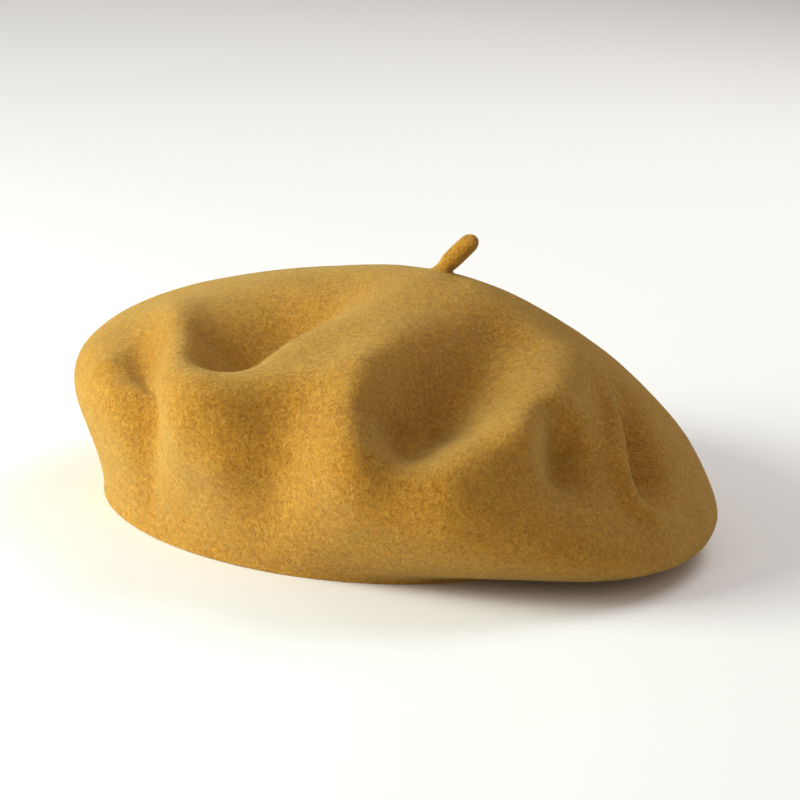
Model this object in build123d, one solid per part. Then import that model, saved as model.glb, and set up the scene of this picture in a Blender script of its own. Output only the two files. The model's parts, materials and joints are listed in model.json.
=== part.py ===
"""A wool felt beret, pulled down to one side as it is worn.

The origin is the centre of the head opening, on the plane that the felt's edge stands on. +Z is up
through the crown, +X the way that the crown hangs over, and the wearer's head comes in from below.
"""
from build123d import *
from math import cos, degrees, pi, radians, sin
import os

# Driving dimensions, in millimetres and degrees.
HEAD_GIRTH = 560.0            # hat size 56, round the inside of the sweatband
FELT_THICKNESS = 2.5
CROWN_TOP = 91.0
CROWN_OFFSET = 35.5           # how far the crown's centre has been pulled over from the opening's
SLOUCH_AZIMUTH = radians(-22)  # the direction in which the crown hangs lowest

BAND_HEIGHT = 25.0
BAND_THICKNESS = 0.8
BAND_JOINT = 0.5              # the slit between the ribbon's butted ends
RIBBON_GAP = 0.27             # from the ribbon to the felt outside it

STEM_X = 28.0                 # the stem's place on the crown
STEM_Y = 10.0
STEM_RADIUS = 3.2
STEM_TIP_RADIUS = 2.9
STEM_FLARE_RADIUS = 5.6       # where the foot spreads out on the crown
STEM_LEAN = radians(40)       # from upright, towards +X
STEM_ROOT_LENGTH = 4.5        # from the crown to the lower bend
STEM_LOWER_LENGTH = 7.0       # from the lower bend to the upper one
STEM_UPPER_LENGTH = 6.6       # from the upper bend to the tip
STEM_BEND = radians(30)       # how far each bend goes either way
BEND_GAP = 0.15
STEM_HOLE = 2.8               # the radius of the hole through the felt
NECK_RADIUS = 2.75
TAIL_RADIUS = 6.0
TAIL_DROP = 4.5               # from the crown's top down to the tail's flat underside

THREAD = 0.36
THREAD_GAP = 0.01
LABEL_STITCH = 2.4            # the length of a stitch through either label
HEM_STITCH = 3.4
HEM_STITCH_COUNT = 96
HEM_HEIGHT = 1.9              # of the ribbon's seam above the edge
JOIN_STITCH = 3.0
JOIN_STITCH_COUNT = 9
JOIN_MARGIN = 4.0             # from the ribbon's selvedges to the outermost join stitches
TACK_STITCH = 3.0
TACK_STITCH_COUNT = 8

LABEL_X = -20.0
LABEL_WIDTH = 34.0
LABEL_BOTTOM = 30.0
LABEL_HEIGHT = 12.0
LABEL_THICKNESS = 0.5
LABEL_DEPTH = FELT_THICKNESS + 0.15
LABEL_SEAM_INSET = 1.2        # from the label's edges to its stitches
LABEL_SEAM_COUNT = 9          # stitches along each long edge

CARE_X = 14.0
CARE_TOP = 42.0               # the height of the line that the care label bends along
CARE_WIDTH = 18.0
CARE_LENGTH = 14.0
CARE_THICKNESS = 0.3
CARE_DEPTH = FELT_THICKNESS + 1.3
CARE_SEAM_ABOVE = 1.1         # from that line up to its stitches
CARE_SEAM_COUNT = 5

BAND_RADIUS = HEAD_GIRTH / (2 * pi)
EDGE_RADIUS = BAND_RADIUS + BAND_THICKNESS + RIBBON_GAP + FELT_THICKNESS

# The felt from its edge to the crown's centre, as control stations of a smooth skin. Each one has the
# share of CROWN_OFFSET that its ring has moved over, then its radius and height on the side where the
# felt stands tall, on the flanks, and on the side where the crown hangs over.
STATIONS = (
    (0.00, (EDGE_RADIUS, 0), (EDGE_RADIUS, 0), (EDGE_RADIUS, 0)),
    (0.02, (93, 4), (93, 3), (93, 3)),
    (0.12, (103.5, 20), (98.5, 16), (114, 2)),
    (0.25, (119, 36.5), (106, 32), (126, 3.5)),
    (0.35, (120, 52), (109.5, 46.5), (131.5, 10.5)),
    (0.42, (109, 62), (106.5, 58), (118, 24.5)),
    (0.60, (91, 73), (81, 67.5), (91, 49)),
    (0.80, (47, 86), (43.5, 80.5), (51, 74)),
    (0.95, (16, 92), (12, 89.5), (14, 89.5)),
    (1.00, (0, CROWN_TOP), (0, CROWN_TOP), (0, CROWN_TOP)),
)
RIM_LEVEL = 0.4               # about where the wall ends and the crown begins
RINGS = 27
RING_POINTS = 16

# The stem's own axis, and its places along it.
stem_direction = Vector(sin(STEM_LEAN), 0, cos(STEM_LEAN))
stem_base = Vector(STEM_X, STEM_Y, CROWN_TOP)
lower_bend = stem_base + stem_direction * STEM_ROOT_LENGTH
upper_bend = lower_bend + stem_direction * STEM_LOWER_LENGTH
stem_tip = upper_bend + stem_direction * STEM_UPPER_LENGTH
CUP_DROP = STEM_RADIUS * sin(STEM_BEND) + BEND_GAP   # from a bend's centre down to its cup's rim


def station_point(station, azimuth):
    """A station's control point at an azimuth, between its tall side, flank and slouched side."""
    moved, tall, flank, slouched = station
    swing = cos(azimuth - SLOUCH_AZIMUTH)
    shares = ((swing**2 - swing) / 2, 1 - swing**2, (swing**2 + swing) / 2)
    radius = sum(share * side[0] for share, side in zip(shares, (tall, flank, slouched)))
    height = sum(share * side[1] for share, side in zip(shares, (tall, flank, slouched)))
    return Vector(CROWN_OFFSET * moved + radius * cos(azimuth), radius * sin(azimuth), height)


def skin(level, azimuth):
    """A point of the felt's outer skin, from level 0 at the edge to level 1 at the crown's centre."""
    points = [station_point(station, azimuth) for station in STATIONS]
    points = [points[0] * 2 - points[1], *points, points[-1] * 2 - points[-2]]
    spans = len(STATIONS) - 1
    span = min(int(level * spans), spans - 1)
    u = level * spans - span
    weights = ((1 - u)**3, 3 * u**3 - 6 * u**2 + 4, -3 * u**3 + 3 * u**2 + 3 * u + 1, u**3)
    return sum((point * (weight / 6) for point, weight in zip(points[span:], weights)), Vector())


def under_skin(level, azimuth, depth):
    """The point at a depth straight in from the outer skin. On the edge, straight in is level."""
    if level == 1:
        return skin(1, azimuth) - Vector(0, 0, depth)
    step = 0.001
    along = skin(level + step, azimuth) - skin(max(level - step, 0), azimuth)
    if level == 0:
        along = Vector(0, 0, 1)
    around = skin(level, azimuth + step) - skin(level, azimuth - step)
    return skin(level, azimuth) - around.cross(along).normalized() * depth


def skin_solid(depth):
    """Everything inside the skin at a depth, closed flat across the opening."""
    azimuths = [2 * pi * turn / RING_POINTS for turn in range(RING_POINTS + 1)]
    rings = []
    for ring in range(RINGS):
        points = [under_skin(ring / RINGS, azimuth, depth) for azimuth in azimuths[:-1]]
        rings.append(Wire([Edge.make_spline(points, periodic=True, parameters=azimuths)]))
    centre = Vertex(*under_skin(1, 0, depth))
    return Solid.make_loft([*rings, centre])


def back_wall(x, height, depth):
    """The point at a depth in the wall at the back, at an x and a height."""
    azimuth = pi / 2
    for _ in range(10):
        low = 0.0
        high = RIM_LEVEL
        for _ in range(20):
            middle = (low + high) / 2
            if under_skin(middle, azimuth, depth).Z < height:
                low = middle
            else:
                high = middle
        point = under_skin(low, azimuth, depth)
        azimuth -= (x - point.X) / BAND_RADIUS
    return point


def felt_shell(outer, cavity):
    """The whole felt body, open below, with a hole in the crown for the stem."""
    stem_hole = Pos(stem_base) * Cylinder(STEM_HOLE, 4 * FELT_THICKNESS)
    return outer - cavity - stem_hole


def stem_rod(start, end, start_radius, end_radius):
    """A round length, which may taper."""
    run = end - start
    faces = [Plane(origin=place, z_dir=run) * Circle(radius)
             for place, radius in ((start, start_radius), (end, end_radius))]
    return loft(faces)


def bend_ball(centre, gap=0):
    """The ball that a bend turns on, or with a gap the cup round it."""
    return Pos(centre) * Sphere(STEM_RADIUS + gap)


def stem_root(outer, cavity):
    """The flared foot on the crown, its neck through the felt, and its tail flattened inside."""
    sunk = stem_base - stem_direction * FELT_THICKNESS
    rim = lower_bend - stem_direction * CUP_DROP
    foot = stem_rod(sunk, rim, STEM_FLARE_RADIUS, STEM_RADIUS) - outer
    hang = (Align.CENTER, Align.CENTER, Align.MAX)
    neck_rise = 0.6           # the neck's top is inside the foot
    neck = Pos(stem_base) * Pos(0, 0, neck_rise) * Cylinder(NECK_RADIUS, TAIL_DROP, align=hang)
    tail = Pos(stem_base) * Cylinder(TAIL_RADIUS, TAIL_DROP, align=hang) & cavity
    return foot + neck + tail - bend_ball(lower_bend, BEND_GAP)


def stem_lower():
    """The stem between its two bends: a ball below and a cup above."""
    rim = upper_bend - stem_direction * CUP_DROP
    rod = stem_rod(lower_bend, rim, STEM_RADIUS, STEM_RADIUS)
    return rod + bend_ball(lower_bend) - bend_ball(upper_bend, BEND_GAP)


def stem_upper():
    """The stem from its upper bend to its rounded tip."""
    shoulder = stem_tip - stem_direction * STEM_TIP_RADIUS
    rod = stem_rod(upper_bend, shoulder, STEM_RADIUS, STEM_TIP_RADIUS)
    return rod + bend_ball(upper_bend) + Pos(shoulder) * Sphere(STEM_TIP_RADIUS)


def stem_tack_stitches():
    """Short stitches round the tail, which hold it to the inside of the crown."""
    drop = TAIL_DROP + THREAD / 2 + THREAD_GAP
    start = Pos(TAIL_RADIUS - TACK_STITCH, 0, 0)
    stitch = start * Rot(0, 90, 0) * Cylinder(THREAD / 2, TACK_STITCH)
    under_crown = Pos(stem_base) * Pos(0, 0, -drop)
    turn = 360 / TACK_STITCH_COUNT
    return [under_crown * Rot(0, 0, turn * step) * stitch for step in range(TACK_STITCH_COUNT)]


def sweatband():
    """A ribbon round the inside of the edge, its ends butted together at the back."""
    ring = Cylinder(BAND_RADIUS + BAND_THICKNESS, BAND_HEIGHT) - Cylinder(BAND_RADIUS, BAND_HEIGHT)
    ring -= Pos(0, BAND_RADIUS, 0) * Box(BAND_JOINT, 4 * BAND_THICKNESS, 2 * BAND_HEIGHT)
    return Pos(0, 0, BAND_HEIGHT / 2) * ring


def band_stitch(height, length):
    """A stitch that lies along the ribbon's inner face, centred on +X."""
    radius = BAND_RADIUS - THREAD_GAP - THREAD / 2
    sweep = degrees(length / radius)
    thread = Plane.XZ * Pos(radius, height) * Circle(THREAD / 2)
    return Rot(0, 0, -sweep / 2) * revolve(thread, Axis.Z, sweep)


def band_hem_stitches():
    """The seam that holds the ribbon to the felt, along the ribbon's lower edge."""
    stitch = band_stitch(HEM_HEIGHT, HEM_STITCH)
    turn = 360 / HEM_STITCH_COUNT
    return [Rot(0, 0, turn * (step + 0.5)) * stitch for step in range(HEM_STITCH_COUNT)]


def band_join_stitches():
    """The stitches across the ribbon's butted ends."""
    rise = (BAND_HEIGHT - 2 * JOIN_MARGIN) / (JOIN_STITCH_COUNT - 1)
    heights = [JOIN_MARGIN + rise * step for step in range(JOIN_STITCH_COUNT)]
    return [Rot(0, 0, 90) * band_stitch(height, JOIN_STITCH) for height in heights]


def size_label():
    """A blank woven label, sewn flat on the inside of the wall at the back."""
    columns = 6
    rows = 4
    heights = [LABEL_BOTTOM + LABEL_HEIGHT * row / (rows - 1) for row in range(rows)]
    grid = []
    for column in range(columns):
        x = LABEL_X + LABEL_WIDTH * (column / (columns - 1) - 0.5)
        grid.append([back_wall(x, height, LABEL_DEPTH) for height in heights])
    return thicken(Face.make_surface_from_array_of_points(grid), LABEL_THICKNESS)


def wall_stitches(middle, width, height, count, depth):
    """A level row of stitches over the wall at the back, their centres spread over a width."""
    stitches = []
    for step in range(count):
        x = middle + width * (step / (count - 1) - 0.5)
        start = back_wall(x - LABEL_STITCH / 2, height, depth)
        end = back_wall(x + LABEL_STITCH / 2, height, depth)
        stitches.append(stem_rod(start, end, THREAD / 2, THREAD / 2))
    return stitches


def size_label_stitches():
    """Stitches along the label's top and bottom edges."""
    width = LABEL_WIDTH - 2 * LABEL_SEAM_INSET - LABEL_STITCH
    clear = 0.1               # a straight stitch stays this far off the curved label
    depth = LABEL_DEPTH + LABEL_THICKNESS + clear + THREAD / 2
    heights = (LABEL_BOTTOM + LABEL_SEAM_INSET, LABEL_BOTTOM + LABEL_HEIGHT - LABEL_SEAM_INSET)
    stitches = []
    for height in heights:
        stitches += wall_stitches(LABEL_X, width, height, LABEL_SEAM_COUNT, depth)
    return stitches


def care_label():
    """A blank tape that lies down the wall at the back, free below its stitched top edge."""
    top = back_wall(CARE_X, CARE_TOP, CARE_DEPTH)
    bottom = back_wall(CARE_X, CARE_TOP - CARE_LENGTH, CARE_DEPTH)
    left, right = [back_wall(CARE_X + side * CARE_WIDTH / 2, CARE_TOP, CARE_DEPTH) for side in (-1, 1)]
    across = (right - left).normalized()
    up = top - bottom
    up -= across * up.dot(across)
    hang = (Align.CENTER, Align.CENTER, Align.MAX)
    tape = Box(CARE_WIDTH, CARE_THICKNESS, CARE_LENGTH, align=hang)
    print("care label hinge through", top, "along", across)
    return Plane(origin=top, x_dir=across, z_dir=up) * tape


def care_label_stitches():
    """The stitches along the care label's top edge."""
    width = CARE_WIDTH - LABEL_STITCH
    return wall_stitches(CARE_X, width, CARE_TOP + CARE_SEAM_ABOVE, CARE_SEAM_COUNT, CARE_DEPTH)


def save(node, shapes):
    """Writes one node, a single solid or a group of separate ones."""
    group = shapes if isinstance(shapes, list) else [shapes]
    solids = [solid for shape in group for solid in shape.solids()]
    whole = solids[0] if len(solids) == 1 else Compound(children=solids)
    export_step(whole, f"parts/{node}.step")
    print(node, len(solids), "solids", round(sum(solid.volume for solid in solids), 1), "mm3")


os.makedirs("parts", exist_ok=True)
outer_skin = skin_solid(0)
inner_skin = skin_solid(FELT_THICKNESS)
save("felt_shell", felt_shell(outer_skin, inner_skin))
save("stem_root", stem_root(outer_skin, inner_skin))
save("stem_lower", stem_lower())
save("stem_upper", stem_upper())
save("stem_tack_stitches", stem_tack_stitches())
save("sweatband", sweatband())
save("band_hem_stitches", band_hem_stitches())
save("band_join_stitches", band_join_stitches())
save("size_label", size_label())
save("size_label_stitches", size_label_stitches())
save("care_label", care_label())
save("care_label_stitches", care_label_stitches())
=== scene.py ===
"""The looks of a wool felt beret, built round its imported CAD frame."""
import json
import math

import bmesh
import bpy
import numpy as np
from mathutils import Matrix, Vector, noise
from mathutils.bvhtree import BVHTree

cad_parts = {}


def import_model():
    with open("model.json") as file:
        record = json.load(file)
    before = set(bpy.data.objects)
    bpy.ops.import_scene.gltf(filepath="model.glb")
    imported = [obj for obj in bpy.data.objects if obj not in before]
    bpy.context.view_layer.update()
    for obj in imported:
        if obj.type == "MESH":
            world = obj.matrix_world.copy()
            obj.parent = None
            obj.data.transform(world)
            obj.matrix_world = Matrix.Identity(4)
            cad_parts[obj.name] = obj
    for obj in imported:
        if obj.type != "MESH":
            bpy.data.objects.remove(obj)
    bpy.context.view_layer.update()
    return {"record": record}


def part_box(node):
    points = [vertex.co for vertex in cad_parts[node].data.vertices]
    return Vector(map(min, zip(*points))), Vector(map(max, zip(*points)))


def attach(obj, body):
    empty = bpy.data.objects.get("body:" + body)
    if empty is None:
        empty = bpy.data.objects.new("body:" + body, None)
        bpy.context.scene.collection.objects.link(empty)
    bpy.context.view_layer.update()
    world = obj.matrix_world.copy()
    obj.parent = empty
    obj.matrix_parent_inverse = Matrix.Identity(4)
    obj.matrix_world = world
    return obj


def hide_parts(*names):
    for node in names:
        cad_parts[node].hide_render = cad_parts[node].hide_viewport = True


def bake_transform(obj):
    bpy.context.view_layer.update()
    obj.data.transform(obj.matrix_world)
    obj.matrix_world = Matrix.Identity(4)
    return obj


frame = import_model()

# ---- driving sizes, in metres, and what the frame gives ------------------------------------------
MM = 0.001
FELT = 2.5 * MM
RIBBON_GAP = 0.27 * MM
THREAD = 0.36 * MM
STEM_ROOT_LENGTH = 4.5 * MM
# the way in which the felt hangs lowest
SLOUCH_AZIMUTH = math.radians(-22)

joints = {joint["name"]: joint for joint in frame["record"]["behaviour"]["joints"]}
lower_bend = np.array(joints["stem_lean"]["pos_m"])
upper_bend = np.array(joints["stem_sway"]["pos_m"])
stem_direction = (upper_bend - lower_bend) / np.linalg.norm(upper_bend - lower_bend)
stem_base = lower_bend - stem_direction * STEM_ROOT_LENGTH
band_low, band_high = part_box("sweatband")
BAND_OUTER = (band_high.x - band_low.x) / 2
BAND_THICKNESS = 0.8 * MM
BAND_INNER = BAND_OUTER - BAND_THICKNESS
BAND_HEIGHT = band_high.z
EDGE_RADIUS = BAND_OUTER + RIBBON_GAP + FELT
CROWN_OFFSET = 35.5 * MM
CROWN_TOP = 91 * MM
crown_centre = np.array((CROWN_OFFSET, 0, CROWN_TOP))

# The same control stations as the CAD skin: the share of CROWN_OFFSET that a ring has moved over, then
# its radius and height in millimetres where the felt stands tall, on the flanks, and where it hangs.
EDGE = EDGE_RADIUS / MM
TOP = CROWN_TOP / MM
STATIONS = np.array((
    (0.00, EDGE, 0, EDGE, 0, EDGE, 0),
    (0.02, 93, 4, 93, 3, 93, 3),
    (0.12, 103.5, 20, 98.5, 16, 114, 2),
    (0.25, 119, 36.5, 106, 32, 126, 3.5),
    (0.35, 120, 52, 109.5, 46.5, 131.5, 10.5),
    (0.42, 109, 62, 106.5, 58, 118, 24.5),
    (0.60, 91, 73, 81, 67.5, 91, 49),
    (0.80, 47, 86, 43.5, 80.5, 51, 74),
    (0.95, 16, 92, 12, 89.5, 14, 89.5),
    (1.00, 0, TOP, 0, TOP, 0, TOP),
))

# Dents and ridges in the felt, as strokes on the crown laid flat round its centre. Each starts with its
# half width, the distance at which it has faded to about 60 %. Then come the places that its line runs
# through, with how far the felt stands out there. All is in millimetres, and a dent's height is negative.
STROKES = (
    # the long dent on the upright side, in a broader sag of the crown
    (10, (-79, -64, -12), (-75, -46, -12), (-64, -30, -8), (-48, -20, -4), (-32, -14, 0)),
    (15, (-80, -36, -10), (-64, -18, -10), (-48, -7, -6)),
    # the valley from near the fold down the wall, and the creased rim beyond it
    (8.5, (-123, -18, -3), (-117, -50, -12), (-114, -72, -13), (-116, -90, -10), (-131, -110, -3)),
    (4, (-143, -44, 0.5), (-130, -42, 2), (-121, -24, 0.5)),
    # the long ridge between the dent and the valley, down to the edge
    (8, (-107, -8, 3), (-103, -32, 6.5), (-97, -60, 5.5), (-87, -90, 5), (-88, -107, 4), (-103, -130, 0)),
    # the shallow hollow left of the middle, and the rise on its left
    (11.5, (-47, -107, -8), (-43, -121, -9), (-45, -134, -6)),
    (10, (-76, -106, 3), (-74, -122, 4), (-78, -134, 1)),
    # the broad ridge from near the stem down the front, and its branch to the left
    (9, (-2, -32, 0), (-15, -54, 4), (-22, -78, 6), (-22, -100, 7), (-15, -118, 7), (-7, -136, 2)),
    (10, (-27, -81, 2), (-52, -92, 4), (-74, -98, 3)),
    # the deepest dent, in front of the stem
    (10, (22, -34, -6), (17, -62, -11), (11, -84, -15), (3, -98, -13)),
    # the ridge to its right
    (10.5, (48, -28, 4), (46, -62, 9), (37, -88, 11), (22, -112, 6)),
    # the small hollow on the right
    (7, (54, -74, -11), (57, -83, -9)),
    # the crisp fold line on the right and the valley behind it
    (3.5, (55, -14, 1), (71, -43, 4.5), (80, -64, 5), (88, -73, 5), (99, -71, 4), (111, -54, 0)),
    (6, (74, -20, -4), (82, -36, -10), (89, -52, -11), (92, -63, -6)),
)

# ---- the felt's skin -----------------------------------------------------------------------------


def skin(levels, azimuths):
    """Points of the CAD skin, a row for each level (0 at the edge, 1 at the crown's centre).

    Up the felt, the stations are the control points of a uniform cubic B-spline that starts at the first
    and ends at the last. Round the hat, a station's radius and height are quadratic in the swing, which
    is -1 where the felt stands tall, 0 on the flanks and 1 where it hangs.
    """
    swing = np.cos(azimuths - SLOUCH_AZIMUTH)
    shares = np.stack([(swing**2 - swing) / 2, 1 - swing**2, (swing**2 + swing) / 2])
    radii = STATIONS[:, 1::2] @ shares
    heights = STATIONS[:, 2::2] @ shares
    across = CROWN_OFFSET / MM * STATIONS[:, :1] + radii * np.cos(azimuths)
    points = np.stack([across, radii * np.sin(azimuths), heights], axis=-1) * MM
    points = np.concatenate([2 * points[:1] - points[1:2], points, 2 * points[-1:] - points[-2:-1]])
    spans = len(STATIONS) - 1
    place = np.asarray(levels) * spans
    span = np.minimum(place.astype(int), spans - 1)
    u = (place - span)[:, None, None]
    weights = ((1 - u)**3, 3 * u**3 - 6 * u**2 + 4, -3 * u**3 + 3 * u**2 + 3 * u + 1, u**3)
    return sum(weight / 6 * points[span + step] for step, weight in enumerate(weights))


def normals_of(rings):
    """Outward normals of a grid of rings that run from the edge up to the crown."""
    along = np.gradient(rings, axis=0)
    around = np.roll(rings, -1, axis=1) - np.roll(rings, 1, axis=1)
    normals = np.cross(around, along)
    return normals / np.maximum(np.linalg.norm(normals, axis=2, keepdims=True), 1e-12)


def laid_flat(rings, azimuths):
    """Each point's place, in millimetres, with the felt laid flat round the crown's centre."""
    steps = np.linalg.norm(np.diff(rings, axis=0), axis=2)
    last = np.linalg.norm(rings[-1:] - crown_centre, axis=2)
    reach = np.cumsum(np.concatenate([last, steps[::-1]]), axis=0)[::-1] / MM
    return reach * np.cos(azimuths), reach * np.sin(azimuths)


def stroke_height(x, y, stroke):
    """How far one dent or ridge moves the felt at each flat point, in millimetres."""
    half_width, *line = stroke
    nearest = np.full_like(x, np.inf)
    height = np.zeros_like(x)
    for (x1, y1, height1), (x2, y2, height2) in zip(line, line[1:]):
        run = ((x - x1) * (x2 - x1) + (y - y1) * (y2 - y1)) / ((x2 - x1)**2 + (y2 - y1)**2)
        run = np.clip(run, 0, 1)
        away = (x - x1 - run * (x2 - x1))**2 + (y - y1 - run * (y2 - y1))**2
        height = np.where(away < nearest, height1 + run * (height2 - height1), height)
        nearest = np.minimum(nearest, away)
    return height * np.exp(-nearest / (2 * half_width**2))


def soft_noise(points, size, seed):
    """Smooth noise about -1 to 1 at each point, with lumps of a size."""
    shift = Vector((seed * 7.31, seed * 3.17, seed * 5.53))
    flat = (points / size).reshape(-1, 3)
    values = [noise.noise(Vector(point) + shift) for point in flat]
    return np.array(values).reshape(points.shape[:-1])


AROUND = 360
OUTER_RINGS = 196
INNER_STEP = 3
LOWEST_LEVEL = 0.028
HIGHEST_LEVEL = 0.994

# The felt's own unevenness: how far it goes, in millimetres, and the size of its lumps.
UNEVENNESS = ((0.7, 34 * MM), (0.15, 14 * MM), (0.07, 3.5 * MM))


def felt_rings():
    """The felt's outer rings from the edge up, and an inner one at every third of them."""
    azimuths = np.arange(AROUND) * 2 * math.pi / AROUND
    levels = np.linspace(LOWEST_LEVEL, HIGHEST_LEVEL, OUTER_RINGS)
    base = skin(levels, azimuths)
    normals = normals_of(base)
    x, y = laid_flat(base, azimuths)
    height = sum(stroke_height(x, y, stroke) for stroke in STROKES)
    for seed, (reach, size) in enumerate(UNEVENNESS, 1):
        height = height + reach * soft_noise(base, size, seed)
    # the felt stays as it is right at its edge and under the stem's foot
    off_edge = np.clip(base[:, :, 2] / (6 * MM), 0, 1)
    from_stem = np.linalg.norm(base - stem_base, axis=2)
    off_stem = np.clip((from_stem - 3.6 * MM) / (12 * MM), 0, 1)
    height = height * off_edge * off_stem
    outer = base + normals * height[:, :, None] * MM
    inner = (outer - normals_of(outer) * FELT)[::INNER_STEP]
    return outer, inner


# ---- mesh helpers --------------------------------------------------------------------------------


def piece(name, points, faces, material, smooth=True):
    """A mesh object of those points and faces, with its faces turned outward."""
    mesh = bpy.data.meshes.new(name)
    mesh.from_pydata([tuple(point) for point in points], [], faces)
    mesh.validate()
    turned = bmesh.new()
    turned.from_mesh(mesh)
    bmesh.ops.recalc_face_normals(turned, faces=turned.faces)
    turned.to_mesh(mesh)
    turned.free()
    if smooth:
        mesh.shade_smooth()
    else:
        mesh.shade_flat()
    mesh.materials.append(material)
    made = bpy.data.objects.new(name, mesh)
    bpy.context.scene.collection.objects.link(made)
    return made


def capped_tube(rings):
    """Points and faces of a tube through rings of points, closed at each end round a middle point."""
    count, around = rings.shape[:2]
    points = np.concatenate([rings.reshape(-1, 3), rings[:1].mean(1), rings[-1:].mean(1)])
    last = (count - 1) * around
    first_middle = count * around
    last_middle = first_middle + 1
    faces = []
    for low in range(0, last, around):
        high = low + around
        for turn in range(around):
            after = (turn + 1) % around
            faces.append((low + turn, low + after, high + after, high + turn))
    for turn in range(around):
        after = (turn + 1) % around
        faces.append((first_middle, after, turn))
        faces.append((last_middle, last + turn, last + after))
    return points, faces


def joined(parts):
    """Several (points, faces) pairs as one."""
    points = []
    faces = []
    for part_points, part_faces in parts:
        first = sum(len(group) for group in points)
        points.append(part_points)
        faces.extend(tuple(first + index for index in face) for face in part_faces)
    return np.concatenate(points), faces


# ---- materials -----------------------------------------------------------------------------------


class Nodes:
    """A short way to build a material's node tree."""

    def __init__(self, name):
        self.material = bpy.data.materials.new(name)
        self.material.use_nodes = True
        self.tree = self.material.node_tree
        self.shader = self.tree.nodes["Principled BSDF"]
        self.place = self.tree.nodes.new("ShaderNodeTexCoord").outputs["Object"]

    def add(self, kind, inputs=(), **settings):
        """A new node with its settings, and its inputs linked or set."""
        node = self.tree.nodes.new(kind)
        for key, value in settings.items():
            setattr(node, key, value)
        for key, value in dict(inputs).items():
            self.put(node.inputs[key], value)
        return node

    def put(self, socket, value):
        """Links an output to a socket, or sets its value."""
        if isinstance(value, bpy.types.NodeSocket):
            self.tree.links.new(value, socket)
        else:
            socket.default_value = value

    def noise(self, scale, detail=3, roughness=0.5, distortion=0.0):
        """A noise pattern's value, with its scale per metre."""
        inputs = {"Vector": self.place, "Scale": scale, "Detail": detail, "Roughness": roughness,
                  "Distortion": distortion}
        return self.add("ShaderNodeTexNoise", inputs).outputs[0]

    def spread(self, value, low, high, start=0.0, end=1.0):
        """A value stretched from low..high to start..end."""
        inputs = {"Value": value, "From Min": low, "From Max": high, "To Min": start, "To Max": end}
        return self.add("ShaderNodeMapRange", inputs).outputs[0]

    def math(self, operation, first, second=0.0):
        """One arithmetic step."""
        return self.add("ShaderNodeMath", {0: first, 1: second}, operation=operation).outputs[0]

    def mix(self, share, first, second):
        """A colour between two others. The numbers are those of the node's colour sockets."""
        return self.add("ShaderNodeMix", {0: share, 6: first, 7: second}, data_type="RGBA").outputs[2]

    def bump(self, height, distance):
        """The shader's normal, raised by a height pattern."""
        node = self.add("ShaderNodeBump", {"Height": height, "Distance": distance, "Strength": 1.0})
        self.put(self.shader.inputs["Normal"], node.outputs[0])

    def surface(self, **values):
        """Sets the shader's own sockets, with an underscore for each space in a name."""
        for key, value in values.items():
            self.put(self.shader.inputs[key.replace("_", " ")], value)


# The felt's colours: its dye where it took more and where it took less, a painted highlight on the raised
# fibres, painted shade in the pits between them, and the longer hairs.
DEEP_MUSTARD = (0.44, 0.179, 0.013, 1)
MUSTARD = (0.51, 0.228, 0.020, 1)
FIBRE_HIGHLIGHT = (0.66, 0.34, 0.05, 1)
PIT_SHADE = (0.24, 0.08, 0.008, 1)
HAIR = (0.72, 0.44, 0.10, 1)


def felt_material():
    """Fulled wool: tangled short fibres with a painted highlight on the raised ones and painted shade in
    the pits, a fine nap that catches the light, and uneven dye.
    """
    nodes = Nodes("wool_felt")
    cloud = nodes.noise(45, 3, 0.5)
    mottle = nodes.noise(430, 4, 0.65)
    grain = nodes.noise(900, 4, 0.7)
    tangle = nodes.noise(500, 3, 0.6, 2.5)
    from_middle = nodes.math("ABSOLUTE", nodes.math("SUBTRACT", tangle, 0.5))
    wisps = nodes.spread(from_middle, 0.0, 0.07, 1.0, 0.0)
    dye = nodes.mix(nodes.spread(cloud, 0.35, 0.65), DEEP_MUSTARD, MUSTARD)
    # painted highlight: a lighter, lit copy of the felt's colour on the raised mottle of the bump
    with_highlight = nodes.mix(nodes.spread(mottle, 0.4, 0.7, 0.0, 0.7), dye, FIBRE_HIGHLIGHT)
    # painted shade: a dark copy of the felt's colour in the low grain of the bump, where the pits lie
    with_pit_shade = nodes.mix(nodes.spread(grain, 0.55, 0.38, 0.0, 0.65), with_highlight, PIT_SHADE)
    haired = nodes.mix(nodes.math("MULTIPLY", wisps, 0.3), with_pit_shade, HAIR)
    nodes.surface(Base_Color=haired, Roughness=0.95, Specular_IOR_Level=0.1)
    nodes.surface(Sheen_Weight=0.45, Sheen_Roughness=0.35, Sheen_Tint=(0.76, 0.84, 0.40, 1))
    relief = nodes.math("ADD", nodes.math("MULTIPLY", grain, 0.8), mottle)
    relief = nodes.math("ADD", relief, nodes.math("MULTIPLY", wisps, 0.15))
    nodes.bump(relief, 0.8 * MM)
    return nodes.material


def ribbon_material():
    """Ribbed grosgrain: soft lustre on the ribs and a fine warp across them."""
    nodes = Nodes("grosgrain")
    cloud = nodes.noise(60, 2)
    warp = nodes.noise(4200, 2, 0.6)
    dye = nodes.mix(cloud, (0.055, 0.030, 0.010, 1), (0.095, 0.055, 0.020, 1))
    threads = nodes.mix(nodes.spread(warp, 0.35, 0.65, 0.0, 0.5), dye, (0.16, 0.10, 0.04, 1))
    nodes.surface(Base_Color=threads, Roughness=0.55, Specular_IOR_Level=0.4)
    nodes.surface(Sheen_Weight=0.3, Sheen_Roughness=0.4, Sheen_Tint=(0.9, 0.8, 0.6, 1))
    nodes.bump(warp, 0.06 * MM)
    return nodes.material


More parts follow.
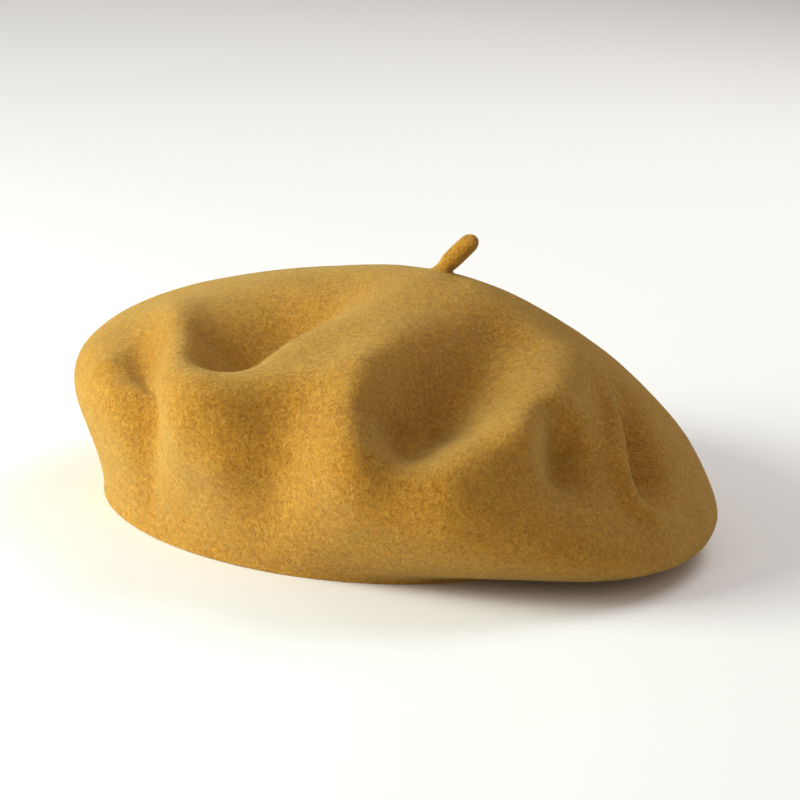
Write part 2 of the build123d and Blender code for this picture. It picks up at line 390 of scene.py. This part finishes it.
def thread_material():
    """Spun sewing thread."""
    nodes = Nodes("sewing_thread")
    fuzz = nodes.noise(9000, 3, 0.7)
    colour = nodes.mix(fuzz, (0.34, 0.18, 0.04, 1), (0.55, 0.34, 0.10, 1))
    nodes.surface(Base_Color=colour, Roughness=0.6, Sheen_Weight=0.3, Sheen_Roughness=0.4)
    nodes.bump(fuzz, 0.03 * MM)
    return nodes.material


def label_material(name, light, dark):
    """Smooth woven tape: fine crossing threads with a slight lustre."""
    nodes = Nodes(name)
    waves = []
    inputs = {"Vector": nodes.place, "Scale": 620, "Distortion": 0.6, "Detail": 1.0}
    for direction in ("X", "Z"):
        wave = nodes.add("ShaderNodeTexWave", inputs, bands_direction=direction)
        waves.append(wave.outputs["Fac"])
    weave = nodes.math("MULTIPLY", waves[0], waves[1])
    wear = nodes.spread(nodes.noise(150, 2), 0.2, 0.8, 0.6, 1.0)
    tone = nodes.mix(nodes.math("MULTIPLY", weave, wear), dark, light)
    nodes.surface(Base_Color=tone, Roughness=0.5, Sheen_Weight=0.2, Sheen_Roughness=0.5)
    nodes.bump(weave, 0.08 * MM)
    return nodes.material


def floor_material():
    """Plain pale card."""
    nodes = Nodes("pale_floor")
    card = nodes.mix(nodes.noise(3), (0.93, 0.93, 0.93, 1), (0.95, 0.95, 0.95, 1))
    nodes.surface(Base_Color=card, Roughness=0.9)
    return nodes.material


felt = felt_material()
ribbon = ribbon_material()
thread = thread_material()

# ---- the felt body -------------------------------------------------------------------------------


def felt_body():
    """One closed shell: outer skin, rounded cut edge and inner skin."""
    outer, inner = felt_rings()
    middle = (outer[0] + inner[0]) / 2
    down = middle * (0, 0, 1)
    turns = np.radians((30, 60, 90, 120, 150))[:, None, None]
    edge = middle + (outer[0] - middle) * np.cos(turns) - down * np.sin(turns)
    # nothing of the edge goes below the floor
    edge[:, :, 2] = np.maximum(edge[:, :, 2], 0)
    rings = np.concatenate([outer[::-1], edge, inner])
    points, faces = capped_tube(rings)
    body = piece("felt_body", points, faces, felt)
    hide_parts("felt_shell")
    return body


body = felt_body()
felt_tree = BVHTree.FromObject(body, bpy.context.evaluated_depsgraph_get())
BELOW_CROWN = 30 * MM
ABOVE_CROWN = 200 * MM


def felt_height(x, y, inside=False):
    """The crown's height at a place, on its outer or its inner skin."""
    start = (x, y, BELOW_CROWN if inside else ABOVE_CROWN)
    way = (0, 0, 1 if inside else -1)
    return felt_tree.ray_cast(Vector(start), Vector(way))[0].z


# ---- the stem ------------------------------------------------------------------------------------

STEM_SIDES = 40
stem_across = np.array((stem_direction[2], 0, -stem_direction[0]))
stem_turns = np.arange(STEM_SIDES) * 2 * math.pi / STEM_SIDES
STEM_LENGTH = 18.3 * MM
STEM_SPLIT = 8 * MM
FOOT_TOP = 4.2 * MM
FOOT_RADIUS = 6.6 * MM


def stem_radius(reach):
    """The stem's radius at a distance along it, thickest at its middle and rounded at the tip."""
    radius = (3.3 + 0.25 * math.sin(math.pi * min(reach / STEM_LENGTH, 1))) * MM
    left = STEM_LENGTH - reach
    tip = 4.2 * MM
    return radius if left > tip else radius * math.sqrt(max(1 - (1 - left / tip)**2.2, 0))


def stem_ring(reach, radius=None):
    """A ring round the stem, which curves a little and is not quite round."""
    radius = stem_radius(reach) if radius is None else radius
    bow = 0.35 * MM * math.sin(math.pi * reach / STEM_LENGTH)
    centre = stem_base + stem_direction * reach - stem_across * bow
    wobble = 1 + 0.03 * np.sin(2 * stem_turns + 180 * reach) + 0.02 * np.sin(3 * stem_turns - 400 * reach)
    sides = np.outer(np.cos(stem_turns), stem_across) + np.outer(np.sin(stem_turns), (0, 1, 0))
    return centre + sides * (radius * wobble)[:, None]


def foot_rings():
    """The stem's flared foot, which runs out over the crown in a soft curve.

    At each turn the curve runs from the skirt's rim up to the foot's top, pulled towards the place where
    the stem's wall would meet the felt.
    """
    top = stem_ring(FOOT_TOP)
    wall = stem_ring(0.3 * MM)
    skirt = stem_base + FOOT_RADIUS * np.stack([np.cos(stem_turns), np.sin(stem_turns), 0 * stem_turns], 1)
    for ring, rise in ((wall, 0.2 * MM), (skirt, -0.25 * MM)):
        for point in ring:
            point[2] = felt_height(point[0], point[1]) + rise
    shares = np.linspace(0, 1, 14)[:, None, None]
    return (1 - shares)**2 * skirt + 2 * shares * (1 - shares) * wall + shares**2 * top


def stem_pieces():
    """The foot with the lower stem, and the upper stem with its tip."""
    # each piece has a ring this close to the split, so that both are shaded alike where they meet
    lip = 0.05 * MM
    reaches = [*np.linspace(4.6 * MM, STEM_SPLIT - lip, 8), STEM_SPLIT]
    # the foot runs on a little inside the tip, so that no gap opens
    tenon = [stem_ring(STEM_SPLIT, 0.9 * stem_radius(STEM_SPLIT)), stem_ring(STEM_SPLIT + MM, 2 * MM)]
    rings = np.concatenate([foot_rings(), [stem_ring(reach) for reach in reaches], tenon])
    foot = piece("stem_foot", *capped_tube(rings), felt)
    tip_reaches = [STEM_SPLIT + (STEM_LENGTH - STEM_SPLIT) * math.sin(share * math.pi / 2)
                   for share in np.linspace(0, 0.98, 30)]
    tip_reaches.insert(1, STEM_SPLIT + lip)
    tip = piece("stem_tip", *capped_tube(np.array([stem_ring(reach) for reach in tip_reaches])), felt)
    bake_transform(foot)
    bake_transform(tip)
    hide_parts("stem_root", "stem_lower")
    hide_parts("stem_upper")


TAIL_RADIUS = 6 * MM
TAIL_THICKNESS = 1.5 * MM


def tail_point(radius, turn, depth):
    """A point under the crown at a polar place round the stem, a depth below the inner skin."""
    x = stem_base[0] + radius * math.cos(turn)
    y = stem_base[1] + radius * math.sin(turn)
    return (x, y, felt_height(x, y, inside=True) - depth)


def stem_tail():
    """The stem's end, flattened against the inside of the crown."""
    around = 48
    turns = [2 * math.pi * turn / around for turn in range(around)]
    # the side against the felt lies a little inside it
    in_felt = -0.3 * MM
    rings = []
    for share in (0.15, 0.4, 0.65, 0.85, 0.96):
        rings.append([tail_point(share * TAIL_RADIUS, turn, in_felt) for turn in turns])
    for share in (1.0, 0.99, 0.94, 0.84, 0.68, 0.45, 0.2):
        thick = TAIL_THICKNESS * math.sqrt(1 - share**4)
        rings.append([tail_point(share * TAIL_RADIUS * (1 + 0.04 * math.sin(3 * turn + 1)), turn, thick)
                      for turn in turns])
    tail = piece("stem_tail", *capped_tube(np.array(rings)), felt)
    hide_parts("stem_root")
    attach(tail, "hat")


# ---- thread --------------------------------------------------------------------------------------


def stitch(path, lift, thickness=THREAD):
    """Points and faces of one stitch: two plies twisted along a path whose ends dive in.

    path is points on the surface from end to end, and lift the way out of the surface.
    """
    path = np.asarray(path, float)
    lift = np.asarray(lift, float)
    count = 13
    sides = 6
    twist_step = 0.75
    ply_offset = 0.22 * thickness
    ply_radius = 0.28 * thickness
    places = np.linspace(0, len(path) - 1, count)
    line = np.stack([np.interp(places, range(len(path)), path[:, axis]) for axis in range(3)], axis=1)
    hump = np.sqrt(np.clip(1 - (2 * np.linspace(0, 1, count) - 1)**6, 0, 1))
    line = line + np.outer(hump * thickness * 0.75 - thickness * 0.45, lift)
    way = np.gradient(line, axis=0)
    way /= np.linalg.norm(way, axis=1, keepdims=True)
    side = np.cross(way, lift)
    side /= np.linalg.norm(side, axis=1, keepdims=True)
    out = np.cross(side, way)

    def spoke(step, turn):
        return side[step] * math.cos(turn) + out[step] * math.sin(turn)

    plies = []
    for ply in range(2):
        rings = []
        for step in range(count):
            centre = line[step] + spoke(step, ply * math.pi + step * twist_step) * ply_offset
            rings.append([centre + spoke(step, turn) * ply_radius
                          for turn in np.arange(sides) * 2 * math.pi / sides])
        plies.append(capped_tube(np.array(rings)))
    return joined(plies)


def thread_piece(name, stitches):
    """A group of stitches as one piece, which stands for the CAD node of that name."""
    made = piece(f"{name}_thread", *joined(stitches), thread)
    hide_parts(name)
    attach(made, "hat")


def band_point(turn, height):
    """A point on the ribbon's inner face, at an angle and a height."""
    return (BAND_INNER * math.cos(turn), BAND_INNER * math.sin(turn), height)


def band_stitches(turns, heights, length):
    """Stitches along the ribbon, one for each angle and height."""
    made = []
    half = length / 2 / BAND_INNER
    for turn, height in zip(turns, heights):
        path = [band_point(turn + share * half, height) for share in np.linspace(-1, 1, 7)]
        made.append(stitch(path, (-math.cos(turn), -math.sin(turn), 0)))
    return made


def hem_stitches():
    """The seam along the ribbon's lower edge."""
    count = 96
    turns = [2 * math.pi * (turn + 0.5) / count for turn in range(count)]
    thread_piece("band_hem_stitches", band_stitches(turns, [1.9 * MM] * count, 3.4 * MM))


def join_stitches():
    """The stitches across the ribbon's butted ends, at the back."""
    count = 9
    heights = np.linspace(4 * MM, BAND_HEIGHT - 4 * MM, count)
    thread_piece("band_join_stitches", band_stitches([math.pi / 2] * count, heights, 3 * MM))


def tack_stitches():
    """Stitches over the edge of the stem's tail."""
    count = 8
    # each stitch's places out from the stem, and how deep it lies there, in millimetres
    course = ((3.6, 1.35), (4.4, 1.35), (5.2, 1.35), (5.9, 0.75), (6.6, 0.05), (7.4, 0.05))
    made = []
    for turn in np.arange(count) * 2 * math.pi / count:
        path = [tail_point(radius * MM, turn, depth * MM) for radius, depth in course]
        made.append(stitch(path, (0, 0, -1), THREAD * 1.3))
    thread_piece("stem_tack_stitches", made)


# ---- the sweatband -------------------------------------------------------------------------------


def sweatband():
    """A ribbed ribbon round the inside of the edge, with looped selvedges and butted ends."""
    ribs = 440
    per_rib = 4
    # the turn between the butted ends
    gap = 0.5 * MM / BAND_INNER
    count = ribs * per_rib
    turns = math.pi / 2 + gap / 2 + (2 * math.pi - gap) * np.arange(count + 1) / count
    rib = 0.5 - 0.5 * np.cos(2 * math.pi * np.arange(count + 1) / per_rib)
    ends = np.clip(np.minimum(np.arange(count + 1), count - np.arange(count + 1)) / 2, 0, 1)
    wave = 0.12 * np.sin(9 * turns) + 0.08 * np.sin(23 * turns + 1)
    lowest = 0.4 * MM
    highest = BAND_HEIGHT - 0.2 * MM
    outer = BAND_OUTER - 0.1 * MM
    # the ribbon's section: a share of its height, and a share of the way from its inner to its outer face
    section = ((0.0, 0.35), (0.02, 0.0), (0.10, 0.0), (0.35, 0.0), (0.65, 0.0), (0.9, 0.0), (0.98, 0.0),
               (1.0, 0.35), (0.98, 1.0), (0.5, 1.0), (0.02, 1.0))
    # how far the weft's loops rise and fall at the lower and at the upper selvedge
    loops = {0.0: -0.125 * MM, 1.0: 0.125 * MM}
    rows = []
    for height, outward in section:
        inner = BAND_INNER + (0.16 - 0.16 * rib * ends + wave * 0.3 * math.sin(math.pi * height)) * MM
        radius = inner + outward * (outer - inner)
        level = lowest + height * (highest - lowest) + loops.get(height, 0) * (rib - 0.5)
        rows.append(np.stack([radius * np.cos(turns), radius * np.sin(turns), level], axis=1))
    rings = np.array(rows).transpose(1, 0, 2)
    band = piece("sweatband_ribbon", *capped_tube(rings), ribbon)
    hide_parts("sweatband")
    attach(band, "hat")


# ---- the labels ----------------------------------------------------------------------------------


IN_FRONT_OF_WALL = 60 * MM
# places along a label's stitch, in millimetres from its middle
LABEL_STITCH = np.linspace(-1.2, 1.2, 5)


def wall_point(x, z, depth):
    """The point of the back wall at an x and a height, a depth in from the inner skin."""
    hit, normal, _, _ = felt_tree.ray_cast(Vector((x, IN_FRONT_OF_WALL, z)), Vector((0, 1, 0)))
    return hit + normal * depth


def label_grid(columns, rows, place, thickness):
    """Points and faces of a thin closed tape, with place(u, v) giving a point and the way out."""
    rings = []
    for column in range(columns + 1):
        front = []
        back = []
        for row in range(rows + 1):
            point, out = place(column / columns, row / rows)
            front.append(np.array(point) + np.array(out) * thickness)
            back.append(np.array(point))
        rings.append(front + back[::-1])
    return capped_tube(np.array(rings))


def size_label():
    """A blank woven label sewn flat to the wall at the back, its ends folded under."""
    low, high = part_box("size_label")

    def place(u, v):
        x = low.x + (high.x - low.x) * u
        z = low.z + (high.z - low.z) * v
        fold = 0.25 * MM if min(u, 1 - u) < 0.09 else 0.0
        pucker = 0.12 * MM * math.sin(40 * u) * (1 - 4 * (v - 0.5)**2)
        point = wall_point(x, z, 0.1 * MM + fold + abs(pucker))
        out = (wall_point(x, z, 1 * MM) - wall_point(x, z, 0)).normalized()
        return point, out

    cream = label_material("woven_label", (0.82, 0.78, 0.68, 1), (0.52, 0.47, 0.38, 1))
    label = piece("size_label_tape", *label_grid(44, 16, place, 0.35 * MM), cream)
    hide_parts("size_label")
    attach(label, "hat")
    stitches = []
    per_row = 9
    inset = 1.2 * MM
    for z in (low.z + inset, high.z - inset):
        for share in (np.arange(per_row) + 0.5) / per_row:
            x = low.x + (high.x - low.x) * (0.03 + 0.94 * share)
            path = [wall_point(x + step * MM, z, 0.55 * MM) for step in LABEL_STITCH]
            out = wall_point(x, z, 1 * MM) - wall_point(x, z, 0)
            stitches.append(stitch(path, out.normalized()))
    thread_piece("size_label_stitches", stitches)


def care_label():
    """A blank tape that hangs from its stitched top edge."""
    low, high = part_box("care_label")
    hinge = joints["care_label_flip"]
    centre = Vector(hinge["pos_m"])
    across = -Vector(hinge["axis"])
    width = high.x - low.x
    length = centre.z - low.z
    above = 1.6 * MM
    # the tape is turned a little, so the middle of its lower edge lies behind the box's front
    bottom_y = low.y + abs(across.y) * width / 2
    down = Vector((centre.x, bottom_y + 0.8 * MM, low.z)) - centre
    down = (down - across * down.dot(across)).normalized()
    out = down.cross(across)

    def place(u, v):
        run = -above + v * (length + above)
        curl = 0.9 * MM * max(run / length, 0)**2 + 0.15 * MM * math.sin(5 * u + 2 * v)
        point = centre + across * (u - 0.5) * width + down * run + out * (curl + 0.1 * MM)
        return point, out

    white = label_material("satin_tape", (0.86, 0.86, 0.84, 1), (0.62, 0.62, 0.60, 1))
    tape = piece("care_label_tape", *label_grid(24, 24, place, 0.22 * MM), white)
    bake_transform(tape)
    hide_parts("care_label")
    count = 5
    stitches = []
    for share in (np.arange(count) + 0.5) / count:
        top = centre + across * (share - 0.5) * width - down * 1.1 * MM + out * 0.36 * MM
        stitches.append(stitch([top + across * step * MM for step in LABEL_STITCH], out))
    thread_piece("care_label_stitches", stitches)


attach(body, "hat")
stem_pieces()
stem_tail()
tack_stitches()
sweatband()
hem_stitches()
join_stitches()
size_label()
care_label()

# ---- studio --------------------------------------------------------------------------------------


def floor():
    """A wide pale floor that the edge stands on."""
    size = 6.0
    points = [(-size, -size, 0), (size, -size, 0), (size, size, 0), (-size, size, 0)]
    piece("floor", points, [(0, 1, 2, 3)], floor_material(), smooth=False)


def soft_light(name, place, target, size, power, colour=(1, 1, 1)):
    """A square lamp that faces a target, with its side in metres and its power in watts."""
    lamp = bpy.data.lights.new(name, "AREA")
    lamp.energy = power
    lamp.size = size
    lamp.color = colour
    made = bpy.data.objects.new(name, lamp)
    made.location = place
    made.rotation_euler = (Vector(target) - Vector(place)).to_track_quat("-Z", "Y").to_euler()
    bpy.context.scene.collection.objects.link(made)


def world():
    """Even, nearly white surroundings."""
    sky = bpy.data.worlds.new("studio")
    sky.use_nodes = True
    background = sky.node_tree.nodes["Background"]
    background.inputs["Color"].default_value = (1, 0.91, 0.84, 1)
    background.inputs["Strength"].default_value = 0.35
    bpy.context.scene.world = sky
    bpy.context.scene.view_settings.view_transform = "Standard"


def camera():
    """The camera, a little above the beret and tilted a little."""
    target = Vector((15.5, 0, 45)) * MM
    distance = 1.1
    elevation = math.radians(15.5)
    roll = math.radians(5)
    # how wide the picture is at the target
    seen_width = 0.3016
    data = bpy.data.cameras.new("camera")
    data.lens = data.sensor_width * distance / seen_width
    # the target stands a little left of the picture's middle and above it, in shares of its width
    data.shift_x = 0.0025
    data.shift_y = -0.01
    made = bpy.data.objects.new("camera", data)
    back = Vector((0, -math.cos(elevation), math.sin(elevation)))
    made.location = target + back * distance
    turn = (-back).to_track_quat("-Z", "Y").to_matrix().to_4x4()
    made.rotation_euler = (turn @ Matrix.Rotation(roll, 4, "Z")).to_euler()
    bpy.context.scene.collection.objects.link(made)
    bpy.context.scene.camera = made


floor()
world()
soft_light("key", (-1.1, -0.35, 0.45), (0, 0, 0.05), size=0.7, power=26, colour=(0.92, 1.0, 0.92))
soft_light("top", (0.6, 0.9, 1.1), (0, 0, 0.05), size=0.8, power=9)
soft_light("front", (0.2, -1.3, 0.08), (0, 0, 0.03), size=0.8, power=1.2, colour=(1.0, 0.93, 0.84))
camera()
